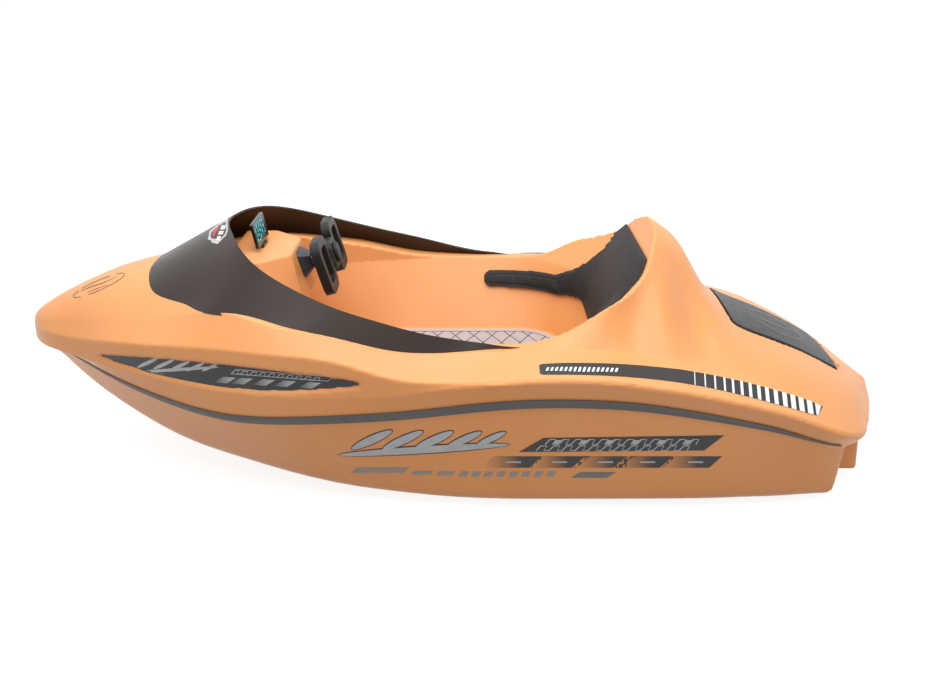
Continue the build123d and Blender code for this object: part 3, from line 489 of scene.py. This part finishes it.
def make_skin(finish):
    """The moulded boat: one even skin over hull, deck, housing and console, parted along the seams."""
    points, triangles, normals, owners = cad_surface(SKIN_NODES)
    mesh = remeshed("skin", points, triangles, SKIN_VOXEL)
    relax(mesh, SKIN_ROUNDS, skin_weight(read_points(mesh)))
    relax(mesh, RIM_ROUNDS, rim_weight(read_points(mesh)))
    smooth_faces(mesh)
    place = read_points(mesh)
    tree = BVHTree.FromPolygons(points.tolist(), triangles.tolist())
    found = [tree.find_nearest(Vector(p)) for p in place]
    nearest = np.array([f[0] for f in found])
    index = np.array([f[2] for f in found])
    shape = np.empty(len(place) * 3)
    mesh.vertex_normals.foreach_get("vector", shape)
    shape = shape.reshape(-1, 3)
    a, b, c = (points[triangles[index, corner]] for corner in range(3))
    whole = np.cross(b - a, c - a)
    area = np.maximum((whole ** 2).sum(1), 1e-18)
    at_a = (np.cross(c - b, nearest - b) * whole).sum(1) / area
    at_b = (np.cross(a - c, nearest - c) * whole).sum(1) / area
    shares = np.stack([at_a, at_b, 1 - at_a - at_b], 1)[:, :, None]
    true = (normals[index] * shares).sum(1)
    true /= np.maximum(np.linalg.norm(true, axis=1, keepdims=True), 1e-9)
    agreement = (shape * true).sum(1, keepdims=True)
    low, high = TRUE_ANGLE
    trust = np.clip((agreement - low) / (high - low), 0, 1)
    blended = shape * (1 - trust) + true * trust
    blended /= np.linalg.norm(blended, axis=1, keepdims=True)
    corners = np.empty(len(mesh.loops), dtype=np.int32)
    mesh.loops.foreach_get("vertex_index", corners)
    faces = corners.reshape(-1, 4)
    owner = owners[index][faces[:, 0]]
    for number, node in enumerate(SKIN_NODES):
        mine = faces[owner == number]
        used, compact = np.unique(mine, return_inverse=True)
        part = bpy.data.meshes.new(node + "_skin")
        part.from_pydata(place[used].tolist(), [], compact.reshape(-1, 4).tolist())
        smooth_faces(part)
        part.normals_split_custom_set_from_vertices(blended[used].tolist())
        add_piece(node + "_skin", part, finish["body_orange"], "body_orange", "boat", node)
    return BVHTree.FromPolygons(place.tolist(), faces.tolist())


# Softened nodes; columns: node, body, slot, voxel size in metres, rounds of softening
SOFTENED = (
    ("hatch_lid", "hatch", "hatch_grey", 0.0026, 3),
    ("steering_yoke", "steering", "charcoal_plastic", 0.0022, 5),
    ("steering_hub", "steering", "charcoal_plastic", 0.0018, 3),
    ("hub_cover", "steering", "charcoal_plastic", 0.0014, 2),
    ("column_boot", "boat", "black_plastic", 0.0014, 2),
    ("display_panel", "boat", "display_black", 0.0012, 1),
)


def soften(finish):
    """Small mouldings with the rounded edges of the real ones."""
    for node, body, slot, voxel, rounds in SOFTENED:
        points, triangles, _, _ = cad_surface((node,))
        mesh = remeshed(node + "_soft", points, triangles, voxel)
        relax(mesh, rounds)
        smooth_faces(mesh)
        add_piece(node + "_soft", mesh, finish[slot], slot, body, node)


# CAD nodes that are shown as they are; columns: node, slot
PLAIN = (
    ("rub_strips", "rub_grey"), ("scoop_inlays", "gloss_black"), ("screen", "smoked_screen"),
    ("display_foot", "black_plastic"), ("steering_shaft", "bright_steel"), ("floor_mat", "mat_fabric"),
    ("pedal_plate", "black_plastic"), ("throttle_pedal", "black_plastic"), ("foot_rest", "black_plastic"),
    ("hatch_seal", "seal_rubber"), ("hatch_hinges", "body_orange"), ("drive_block", "drive_grey"),
    ("pump_duct", "jet_aluminium"), ("jet_nozzle", "jet_aluminium"), ("impeller", "bright_steel"),
    ("intake_grate", "bright_steel"), ("ride_plate", "jet_aluminium"), ("keel_strakes", "body_orange"),
    ("drain_plug", "brass"),
)


def dress_plain(finish):
    """Gives the CAD nodes that stay in view their finishes."""
    for node, slot in PLAIN:
        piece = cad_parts[node]
        piece.data.materials.clear()
        piece.data.materials.append(finish[slot])


# Graphics are drawn on the photograph's pixels and laid on the surface that the camera sees there
MIDDLE_PX = (465, 350)
INK_LIFT = 0.0007
OVER_INK = 0.0012


def pixel_ray(spot):
    """The direction in which the camera sees a pixel of the photograph."""
    right = (spot[0] - MIDDLE_PX[0]) / FOCAL_PX
    down = (spot[1] - MIDDLE_PX[1]) / FOCAL_PX
    dip, level = math.sin(CAMERA_PITCH), math.cos(CAMERA_PITCH)
    return Vector((-right, down * dip - level, -dip - down * level))


def node_tree(*names):
    """A search tree over the surface of some CAD nodes."""
    points, triangles, _, _ = cad_surface(names)
    return BVHTree.FromPolygons(points.tolist(), triangles.tolist())


def even_outline(outline, step):
    """A closed outline with a point at least at every step."""
    spots = []
    for (x0, y0), (x1, y1) in zip(outline, [*outline[1:], outline[0]]):
        count = max(1, math.ceil(math.hypot(x1 - x0, y1 - y0) / step))
        spots += [(x0 + (x1 - x0) * k / count, y0 + (y1 - y0) * k / count) for k in range(count)]
    return spots


def sheet(outline, step):
    """Triangles over the inside of an outline, with corners about a step apart."""
    edge = even_outline(list(outline), step)
    corners = np.array(edge)
    after = np.roll(corners, -1, 0)
    low, high = corners.min(0), corners.max(0)
    rows = [np.arange(low[axis] + step / 2, high[axis], step) for axis in (0, 1)]
    across, along = np.meshgrid(*rows)
    x, y = across.reshape(-1, 1), along.reshape(-1, 1)
    rise = after[:, 1] - corners[:, 1]
    run = after[:, 0] - corners[:, 0]
    reach = run * (y - corners[:, 1]) / np.where(rise == 0, 1, rise) + corners[:, 0]
    crossed = ((corners[:, 1] > y) != (after[:, 1] > y)) & (x < reach)
    clear = np.hypot(x - corners[:, 0], y - corners[:, 1]).min(1) > step * 0.4
    kept = (crossed.sum(1) % 2 == 1) & clear
    spots = [Vector(spot) for spot in edge]
    spots += [Vector((float(a), float(b))) for a, b in zip(x[kept, 0], y[kept, 0])]
    made = delaunay_2d_cdt(spots, [], [list(range(len(edge)))], 1, 1e-6)
    return made[0], made[2]


def ink(
    name, outlines, material, slot, tree, body="boat", step=4.0, both_sides=False, lift=INK_LIFT, fade=0.0,
):
    """Thin ink on a surface, inside outlines on the photograph's pixels; fade is the share that fades in."""
    eye = Vector(CAMERA_PLACE)
    widest = cad_box[1][1]
    points, faces, shades = [], [], []
    for outline in outlines:
        spots, triangles = sheet(outline, step)
        left, right = min(s[0] for s in outline), max(s[0] for s in outline)
        number = {}
        for index, spot in enumerate(spots):
            ray = pixel_ray(spot)
            hit, normal, _, _ = tree.ray_cast(eye, ray)
            if hit is None:
                continue
            place = hit + normal * (lift if normal.dot(ray) < 0 else -lift)
            place.y = min(place.y, widest)
            number[index] = len(points)
            points.append(tuple(place))
            shades.append(min(1.0, (spot[0] - left) / (right - left) / fade) if fade else 1.0)
        for triangle in triangles:
            if all(corner in number for corner in triangle):
                a, b, c = (number[corner] for corner in triangle)
                turn = (Vector(points[b]) - Vector(points[a])).cross(Vector(points[c]) - Vector(points[a]))
                faces.append((a, b, c) if turn.dot(eye - Vector(points[a])) > 0 else (a, c, b))
    if both_sides:
        count = len(points)
        points += [(x, -y, z) for x, y, z in points]
        faces += [(a + count, c + count, b + count) for a, b, c in faces]
        shades += shades
    mesh = bpy.data.meshes.new(name)
    mesh.from_pydata(points, [], faces)
    mesh.attributes.new("shade", "FLOAT", "POINT").data.foreach_set("value", shades)
    smooth_faces(mesh)
    return add_piece(name, mesh, material, slot, body)


def stroke(path, width):
    """The outline of a line along a path; the width is one number or one for each point."""
    path = np.array(path, dtype=float)
    ahead = np.gradient(path, axis=0)
    ahead /= np.linalg.norm(ahead, axis=1, keepdims=True)
    side = np.column_stack([-ahead[:, 1], ahead[:, 0]])
    side = side * np.broadcast_to(width, len(path)).reshape(-1, 1) / 2
    return [tuple(spot) for spot in np.concatenate([path + side, (path - side)[::-1]])]


def oval(centre, length, width, tilt, start=0, end=360, count=28):
    """Points round a tilted oval."""
    turns = np.radians(np.linspace(start, end, count, endpoint=end - start < 360))
    x, y = np.cos(turns) * length / 2, np.sin(turns) * width / 2
    lean = math.radians(tilt)
    across, down = x * math.cos(lean) + y * math.sin(lean), y * math.cos(lean) - x * math.sin(lean)
    return list(zip(centre[0] + across, centre[1] + down))


def slab(left, right, top, low, slant):
    """A slanted block."""
    return [(left + slant, top), (right + slant, top), (right, low), (left, low)]


def zigzag(left, right, top, low, pitch, lean):
    """A slanted zigzag path."""
    path = []
    for k in range(int((right - left) / pitch)):
        x = left + k * pitch
        path += [(x, low), (x + lean, top), (x + lean + pitch * 0.45, top), (x + pitch * 0.6, low)]
    return path


# Black strip on the deck's edge: its upper and lower edges in pixels
STRIP_TOP_PX = (
    (539.1, 365.6), (541, 364.2), (550, 363.6), (564.5, 363.0), (582.7, 363.0), (604.5, 363.4), (625.1, 364.3),
    (643.3, 365.7), (661.5, 367.5), (679.6, 369.4), (704.9, 373.6), (723.3, 377.4), (741.7, 381.3), (760.0, 385.8),
    (777.8, 390.9), (795.0, 395.8), (811.7, 401.6), (822.6, 406.5),
)
STRIP_LOW_PX = (
    (539.9, 373.4), (542, 374.7), (550, 374.8), (564.5, 374.7), (582.7, 375.0), (604.5, 375.7), (625.1, 376.9),
    (643.3, 378.4), (661.5, 380.3), (679.6, 382.7), (704.3, 386.9), (723.3, 390.9), (740.5, 395.0), (757.5, 399.3),
    (774.7, 404.0), (791.6, 408.5), (808.0, 413.3), (818.0, 415.9),
)
# Where the white bars of the strip start on its upper edge; they widen and lean along it
BAR_STARTS_PX = (
    693.9, 704.0, 713.8, 723.1, 731.3, 739.9, 748.2, 756.6, 764.6, 773.2, 781.8, 789.9, 797.9, 806.2, 814.6,
)


def strip_at(x, share):
    """A point across the strip, from its upper edge at nought to its lower edge at one."""
    top = np.interp(x, *np.array(STRIP_TOP_PX).T)
    low = np.interp(x, *np.array(STRIP_LOW_PX).T)
    return (x, top + (low - top) * share)


def paint_strip(finish, skin):
    """The black strip along each side of the deck, with white bars that widen towards the stern."""
    band = [*STRIP_TOP_PX, *STRIP_LOW_PX[::-1]]
    ink("side_strip", [band], finish["strip_black"], "rub_grey", skin, both_sides=True, step=3.0)
    bars = []
    for k, start in enumerate(BAR_STARTS_PX):
        end, lean = start + 0.9 + 0.36 * k, 0.7 + 0.08 * k
        upper = [strip_at(start, 0), strip_at(end, 0)]
        bars.append([*upper, strip_at(end + lean, 1), strip_at(start + lean, 1)])
    bars[-1] = [strip_at(814.6, 0), strip_at(820.8, 0.06), strip_at(817.9, 1), strip_at(816.4, 1)]
    for k in range(16):
        x, low = 545.5 + 4.6 * k, 0.76 - 0.10 * abs(k - 7.5) / 7.5
        upper = [strip_at(x + 1.6, 0.36), strip_at(x + 4.0, 0.36)]
        bars.append([*upper, strip_at(x + 2.4, low), strip_at(x, low)])
    white = finish["mark_white"]
    ink("strip_marks", bars, white, "rub_grey", skin, both_sides=True, step=3.0, lift=OVER_INK)


# A long light wave with leaves behind it; columns: middle x and y in pixels, length, width, tilt in degrees
FLOW = (
    (424, 449.5, 172, 7, 3.5), (372, 439.5, 44, 8, 24), (403, 440.0, 44, 8, 24), (434, 440.0, 42, 8, 24),
    (464, 439.5, 38, 7, 24), (491, 438.5, 32, 6, 24),
)


FLOW_START_PX = (336, 428)


def flowing(scale, shift, grow):
    """The flowing row of shapes at another size and place."""
    rows = []
    for x, y, length, width, tilt in FLOW:
        across, down = x - FLOW_START_PX[0], y - FLOW_START_PX[1]
        centre = (shift[0] + across * scale[0], shift[1] + down * scale[1] + across * scale[2])
        rows.append(oval(centre, length * scale[0] + grow, width * scale[1] + grow, tilt, count=18))
    return rows


def paint_hull(finish, skin):
    """Marks of no meaning on the hull's sides: a flowing row, a hatched block, fading slabs and grey bars."""

    def paint(name, outlines, material, **more):
        ink(name, outlines, finish[material], "body_orange", skin, both_sides=True, **more)

    paint("flow_edge", flowing((1, 1, 0), FLOW_START_PX, 2.2), "mark_dark")
    paint("flow_fill", flowing((1, 1, 0), FLOW_START_PX, 0), "mark_grey", lift=OVER_INK)
    paint("hatched_block", [[(519, 451.9), (543.4, 437.8), (724.3, 435.2), (704.2, 450.3)]], "mark_dark")
    rows = [stroke(zigzag(545, 712, 439.2, 444.2, 13, 5), 1.1)]
    rows.append(stroke(zigzag(536, 704, 445.6, 450.2, 13, 5), 1.1))
    rows += [slab(552 + 26 * k, 560 + 26 * k, 439.8, 443.6, 4) for k in range(6)]
    paint("hatching", rows, "mark_grey", lift=OVER_INK, step=3.0)
    ends = ((482, 531), (529, 577), (572, 625), (613, 663), (660, 709))
    slabs = [slab(left, right, 456.2, 467.6, 13) for left, right in ends]
    paint("fading_slabs", slabs, "fading_ink", fade=0.62)
    cuts = [slab(left, left + 15, 461.0, 462.6, 0) for left in (506, 552, 598, 640, 688)]
    paint("slab_cuts", cuts, "mark_grey", lift=OVER_INK)
    ghosts = [slab(351, 404, 467.6, 472.6, 5), slab(411, 430, 471, 474.5, 3), slab(436, 452, 471.5, 475, 3)]
    ghosts += [slab(458 + 12.5 * k, 466 + 12.5 * k, 471.5, 476.5, 3) for k in range(8)]
    paint("ghost_bars", ghosts, "ghost_grey")
    paint("ghost_block", [slab(571, 607, 472, 477.6, 9)], "ghost_dark")


def paint_inlays(finish):
    """The same family of marks, smaller, on the black inlays of the scoops."""
    inlay = node_tree("scoop_inlays")

    def paint(name, outlines, material, **more):
        ink(name, outlines, finish[material], "gloss_black", inlay, both_sides=True, **more)

    paint("inlay_flow", flowing((0.52, 0.46, 0.045), (129, 355.8), 0), "mark_grey", step=3.0)
    rows = [stroke([(x, y + (x - 232) * 0.088) for x, y in zigzag(232, 326, 369.8, 373.2, 9, 3)], 0.8)]
    frame_path = [(231, 373.6), (236, 369.3), (333, 376.9), (328, 381.0), (231, 373.6)]
    rows += [stroke(frame_path[:3], 0.6), stroke(frame_path[2:], 0.6)]
    paint("inlay_hatching", rows, "mark_grey", step=3.0)
    paint("inlay_bar", [[(137, 370.2), (143, 369.8), (167.5, 373.4), (162, 375.2)]], "ghost_block")
    slabs = []
    for left in (215, 232, 254, 275, 300):
        drop = 0.062 * (left - 215)
        corners = ((9, 376.6), (21, 377.6), (12, 383.2), (-2, 382.2))
        slabs.append([(left + across, down + drop) for across, down in corners])
    paint("inlay_slabs", slabs, "fading_light", fade=1.0)


def paint_small_marks(finish, skin):
    """Thin ovals on the foredeck and the hatch, a shield on the screen and lit figures on the display."""
    arcs = ((140, 222), (232, 300), (318, 390), (30, 118))
    ring = [stroke(oval((99.0, 285.3), 56, 9.5, 24, start, end), 0.7) for start, end in arcs]
    ring.append(stroke([(80, 291.6), (91, 286.8), (104, 282.6), (117, 276.6)], [0.2, 1.0, 0.8, 0.3]))
    ring.append(stroke([(87, 292.6), (96, 289.0), (108, 284.6)], [0.2, 0.7, 0.2]))
    ink("foredeck_mark", ring, finish["scratch_grey"], "body_orange", skin, step=2.5)
    lid = node_tree("hatch_lid")
    arcs = ((-60, 50), (60, 128), (135, 232), (240, 292))
    ring = [stroke(oval((774.6, 324.6), 60, 10, -28, start, end), 0.8) for start, end in arcs]
    ring.append(stroke([(754, 315.8), (764, 320.2), (778, 325.6), (793, 333.0)], [0.2, 1.1, 0.9, 0.3]))
    ring.append(stroke([(763, 316.6), (772, 320.0), (784, 325.4)], [0.2, 0.8, 0.2]))
    ink("hatch_mark", ring, finish["hatch_ink"], "hatch_grey", lid, body="hatch", step=2.5)
    screen = node_tree("screen")
    shield = [
        (208.3, 239.8), (210.2, 231.4), (219.9, 223.6), (227.7, 218.5), (227.7, 230.5),
        (225.9, 235.6), (217.6, 243.9), (212, 242.5), (211.6, 240.2),
    ]
    rim = [stroke([*shield, shield[0], shield[1]], 0.8)]
    ink("shield_rim", rim, finish["mark_grey"], "smoked_screen", screen, step=2.0)
    red = [slab(212.4, 215.0, 228.2, 236.4, 2.6), slab(216.2, 217.6, 225.0, 232.0, 2.2)]
    ink("shield_red", red, finish["badge_red"], "smoked_screen", screen, step=2.0)
    white = [slab(216.0, 219.6, 236.2, 240.4, 1.8), slab(218.0, 222.6, 231.2, 234.6, 1.6)]
    white.append(slab(220.4, 224.8, 225.6, 229.6, 1.4))
    ink("shield_white", white, finish["mark_white"], "smoked_screen", screen, step=2.0)
    panel = node_tree("display_panel")
    places = ((260.6, 213.4), (266.8, 231.6), (258.6, 246.4), (252.0, 226.6))
    corners = [np.array(corner) for corner in places]

    def on_panel(across, down):
        upper = corners[0] * (1 - across) + corners[1] * across
        lower = corners[3] * (1 - across) + corners[2] * across
        return tuple(upper * (1 - down) + lower * down)

    figures = []
    for row in range(5):
        for column in range(7):
            length = (0.05, 0.10, 0.07, 0.12)[(row * 3 + column * 5) % 4]
            height = (0.10, 0.05, 0.12)[(row + column * 2) % 3]
            across, down = 0.07 + column * 0.128, 0.08 + row * 0.18
            corners_in = ((0, 0), (length, 0), (length, height), (0, height))
            figures.append([on_panel(across + a, down + b) for a, b in corners_in])
    ink("display_figures", figures, finish["display_teal"], "display_black", panel, step=2.0, lift=0.0005)


# Floor mat's trim: its outline, and the lines pressed in along it, in metres
MAT_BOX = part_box("floor_mat")
MAT_ROUND = 0.134
MAT_CORNER = 0.014
MAT_BORDER = 0.022


def mat_loop(inset, steps=10):
    """Points round the mat's outline, moved inwards."""
    (low_x, low_y, _), (high_x, high_y, _) = MAT_BOX
    points = []
    for x, y, radius, start in (
        (high_x, high_y, MAT_CORNER, 0), (low_x, high_y, MAT_ROUND, 90),
        (low_x, low_y, MAT_ROUND, 180), (high_x, low_y, MAT_CORNER, 270),
    ):
        inner = max(radius - inset, 0.001)
        shift = max(radius, inset + 0.001)
        middle = (x - math.copysign(shift, x), y - math.copysign(shift, y))
        for k in range(steps + 1):
            turn = math.radians(start + 90 * k / steps)
            points.append((middle[0] + inner * math.cos(turn), middle[1] + inner * math.sin(turn)))
    return points


def ring_mesh(name, outer, inner, height):
    """A flat band between two loops with as many points each."""
    count = len(outer)
    points = [(x, y, height) for x, y in outer + inner]
    faces = [(k, (k + 1) % count, count + (k + 1) % count, count + k) for k in range(count)]
    mesh = bpy.data.meshes.new(name)
    mesh.from_pydata(points, [], faces)
    return mesh


def trim_mat(finish):
    """A plain border round the mat's diamonds, with a dark line on its inner side."""
    top = MAT_BOX[1][2]
    border = ring_mesh("mat_border", mat_loop(0.0005), mat_loop(MAT_BORDER), top + 0.0004)
    add_piece("mat_border", border, finish["mat_plain"], "mat_fabric", "boat")
    line = ring_mesh("mat_line", mat_loop(MAT_BORDER - 0.0012), mat_loop(MAT_BORDER + 0.0012), top + 0.0007)
    add_piece("mat_line", line, finish["mat_seam"], "mat_fabric", "boat")


PAD_VOXEL = 0.005
PAD_START = 0.002
PAD_CAP = 0.007
PAD_PRESSURE = 4.0
PAD_FRAMES = 20
SEAM_INSET = 0.012
SEAM_WIDTH = 0.0032
SEAM_DEPTH = 0.0012


def rim_points(mesh, spacing=0.003):
    """Points along the sharp edges of a closed mesh."""
    model = bmesh.new()
    model.from_mesh(mesh)
    bmesh.ops.remove_doubles(model, verts=model.verts, dist=1e-5)
    points = []
    for edge in model.edges:
        if len(edge.link_faces) == 2 and edge.calc_face_angle() > math.radians(40):
            first, second = (vert.co.copy() for vert in edge.verts)
            count = max(1, math.ceil((second - first).length / spacing))
            points += [first.lerp(second, k / count) for k in range(count + 1)]
    model.free()
    return points


def blown(mesh, held):
    """The mesh after its cloth is filled; held says how firmly each vertex stays."""
    cushion = bpy.data.objects.new("cushion", mesh)
    bpy.context.scene.collection.objects.link(cushion)
    group = cushion.vertex_groups.new(name="held")
    for index in np.flatnonzero(held > 0).tolist():
        group.add([index], float(held[index]), "REPLACE")
    settings = cushion.modifiers.new("cloth", "CLOTH").settings
    settings.quality = 4
    settings.use_pressure = True
    settings.uniform_pressure_force = PAD_PRESSURE
    settings.effector_weights.gravity = 0
    settings.vertex_group_mass = "held"
    for number in range(1, PAD_FRAMES + 1):
        bpy.context.scene.frame_set(number)
    made = bpy.data.meshes.new_from_object(cushion.evaluated_get(bpy.context.evaluated_depsgraph_get()))
    filled = read_points(made)
    bpy.data.objects.remove(cushion)
    bpy.data.meshes.remove(made)
    bpy.context.scene.frame_set(1)
    return filled


def subdivided(mesh):
    """A mesh with one smooth subdivision."""
    holder = bpy.data.objects.new("holder", mesh)
    bpy.context.scene.collection.objects.link(holder)
    holder.modifiers.new("finer", "SUBSURF").levels = 1
    made = bpy.data.meshes.new_from_object(holder.evaluated_get(bpy.context.evaluated_depsgraph_get()))
    bpy.data.objects.remove(holder)
    return made


def vertex_normals(mesh):
    """A mesh's vertex normals as rows."""
    normals = np.empty(len(mesh.vertices) * 3)
    mesh.vertex_normals.foreach_get("vector", normals)
    return normals.reshape(-1, 3)


def make_pad(finish):
    """The stuffed backrest: the CAD layer filled like a cushion, with a seam a little way in from its edge."""
    points, triangles, _, _ = cad_surface(("backrest_pad",))
    rims = rim_points(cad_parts["backrest_pad"].data)
    mesh = remeshed("backrest_cushion", points, triangles, PAD_VOXEL)
    place = relax(mesh, 4)
    normals = vertex_normals(mesh)
    inward = -place * (1, 1, 0)
    inward[:, 0] += points[:, 0].max()
    inward /= np.linalg.norm(inward, axis=1, keepdims=True)
    front = np.clip((normals * inward).sum(1) * 2.5, 0, 1)
    place = place - normals * (front * PAD_START)[:, None]
    mesh.vertices.foreach_set("co", place.ravel())
    mesh.update()
    move = blown(mesh, 1 - front) - place
    length = np.maximum(np.linalg.norm(move, axis=1, keepdims=True), 1e-9)
    move *= np.minimum(1, PAD_CAP / length)
    mesh.vertices.foreach_set("co", (place + move).ravel())
    mesh.update()
    relax(mesh, 2)
    mesh = subdivided(mesh)
    tree = KDTree(len(rims))
    for index, point in enumerate(rims):
        tree.insert(point, index)
    tree.balance()
    place = read_points(mesh)
    reach = np.array([tree.find(Vector(point))[2] for point in place])
    normals = vertex_normals(mesh)
    inward = -place * (1, 1, 0)
    inward[:, 0] += points[:, 0].max()
    front = np.clip((normals * inward).sum(1) / np.linalg.norm(inward, axis=1) * 2.5, 0, 1)
    sunk = SEAM_DEPTH * np.exp(-(((reach - SEAM_INSET) / SEAM_WIDTH) ** 2)) * front
    mesh.vertices.foreach_set("co", (place - normals * sunk[:, None]).ravel())
    shade = np.clip((SEAM_INSET - reach) / SEAM_WIDTH, 0, 1)
    mesh.attributes.new("shade", "FLOAT", "POINT").data.foreach_set("value", shade)
    smooth_faces(mesh)
    pad = add_piece("backrest_cushion", mesh, finish["pad_leather"], "pad_leather", "boat", "backrest_pad")


bpy.context.scene.view_settings.view_transform = "Standard"
make_camera()
make_light()
make_floor()
finish = make_materials()
skin = make_skin(finish)
soften(finish)
dress_plain(finish)
paint_strip(finish, skin)
paint_hull(finish, skin)
paint_inlays(finish)
paint_small_marks(finish, skin)
trim_mat(finish)
make_pad(finish)
